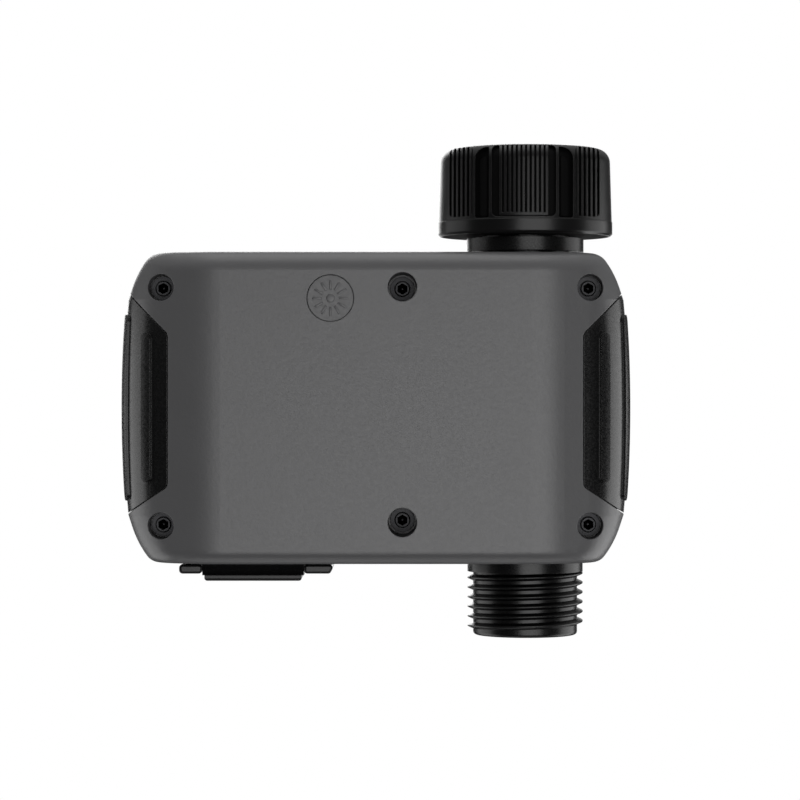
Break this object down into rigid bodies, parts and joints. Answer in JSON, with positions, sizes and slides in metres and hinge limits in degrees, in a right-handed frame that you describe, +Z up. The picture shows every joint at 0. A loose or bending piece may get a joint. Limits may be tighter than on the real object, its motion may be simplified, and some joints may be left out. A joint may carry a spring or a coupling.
{
  "type": "drip irrigation timer",
  "caption": "Battery tap timer for drip irrigation: flat grey housing with side grips, swivel tap nut on top, threaded hose outlet below and a slide-out battery drawer.",
  "frame": {"origin": "centre of the swivel nut's mouth, on the water path's axis", "axes": "+Z up the water path towards the tap, +Y towards the button side, -Y towards the screw side, +X from the housing towards the water path"},
  "size_m": [0.116, 0.0548, 0.1118],
  "materials": {
    "shell_plastic": "fine mould texture",
    "grip_plastic": "satin",
    "black_plastic": "satin",
    "nut_plastic": "satin",
    "door_plastic": "satin",
    "medallion_plastic": "satin",
    "white_plastic": "gloss",
    "bobbin_plastic": "satin",
    "clear_plastic": "clear",
    "seal_rubber": "matte",
    "diaphragm_rubber": "matte",
    "washer_rubber": "matte",
    "button_rubber": "satin",
    "screw_steel": "black zinc",
    "bright_steel": "brushed",
    "mesh_steel": "woven",
    "magnet_alloy": "nickel plated",
    "coil_copper": "enamelled wire",
    "contact_brass": "plated",
    "board_laminate": "solder mask",
    "chip_plastic": "moulded",
    "cell_jacket": "satin"
  },
  "bodies": {
    "housing": {"rear_cover": "shell_plastic", "front_cover": "shell_plastic", "housing_gasket": "seal_rubber", "left_grip": "grip_plastic", "right_grip": "grip_plastic", "corner_screws": "screw_steel", "middle_screws": "screw_steel", "rear_medallion": "medallion_plastic", "inlet_washer": "washer_rubber", "strainer": "mesh_steel", "nut_retaining_ring": "bright_steel", "neck_seal": "seal_rubber", "outlet_seal": "seal_rubber", "valve_body": "black_plastic", "bonnet": "black_plastic", "bonnet_screws": "bright_steel", "plunger_tube": "bright_steel", "fixed_pole": "bright_steel", "solenoid_bobbin": "bobbin_plastic", "coil_winding": "coil_copper", "solenoid_yoke": "bright_steel", "latch_magnet": "magnet_alloy", "plunger_spring": "bright_steel", "battery_bay": "black_plastic", "bay_contacts": "contact_brass", "main_board": "board_laminate", "radio_module": "bright_steel", "controller_chip": "chip_plastic", "coil_connector": "white_plastic", "capacitors": "cell_jacket", "status_led": "white_plastic", "push_switch": "chip_plastic", "button_seal": "seal_rubber", "light_pipe": "clear_plastic"},
    "nut": {"inlet_nut": "nut_plastic"},
    "drawer": {"battery_drawer": "black_plastic", "battery_door": "door_plastic", "door_seal": "seal_rubber", "battery_1": "cell_jacket", "battery_2": "cell_jacket", "battery_3": "cell_jacket", "battery_4": "cell_jacket", "battery_springs": "bright_steel", "battery_contacts": "contact_brass"},
    "button": {"front_button": "button_rubber", "switch_plunger": "white_plastic"},
    "plunger": {"plunger": "bright_steel", "plunger_seal": "seal_rubber"},
    "diaphragm": {"diaphragm": "diaphragm_rubber"}
  },
  "joints": [
    {"name": "nut_spin", "type": "hinge", "parent": "housing", "child": "nut", "pos_m": [0, 0, -0.01], "axis": [0, 0, 1], "continuous": true},
    {"name": "drawer_slide", "type": "slide", "parent": "housing", "child": "drawer", "axis": [0, 0, -1], "range_m": [0, 0.056]},
    {"name": "button_press", "type": "slide", "parent": "housing", "child": "button", "axis": [0, -1, 0], "range_m": [0, 0.0006], "stiffness_N_per_m": 2500},
    {"name": "plunger_slide", "type": "slide", "parent": "housing", "child": "plunger", "axis": [-1, 0, 0], "range_m": [0, 0.0018], "stiffness_N_per_m": 300},
    {"name": "diaphragm_lift", "type": "slide", "parent": "housing", "child": "diaphragm", "axis": [-1, 0, 0], "range_m": [0, 0.0018]}
  ],
  "couplings": [
    {"joint": "diaphragm_lift", "follows": "plunger_slide", "ratio": 1}
  ]
}
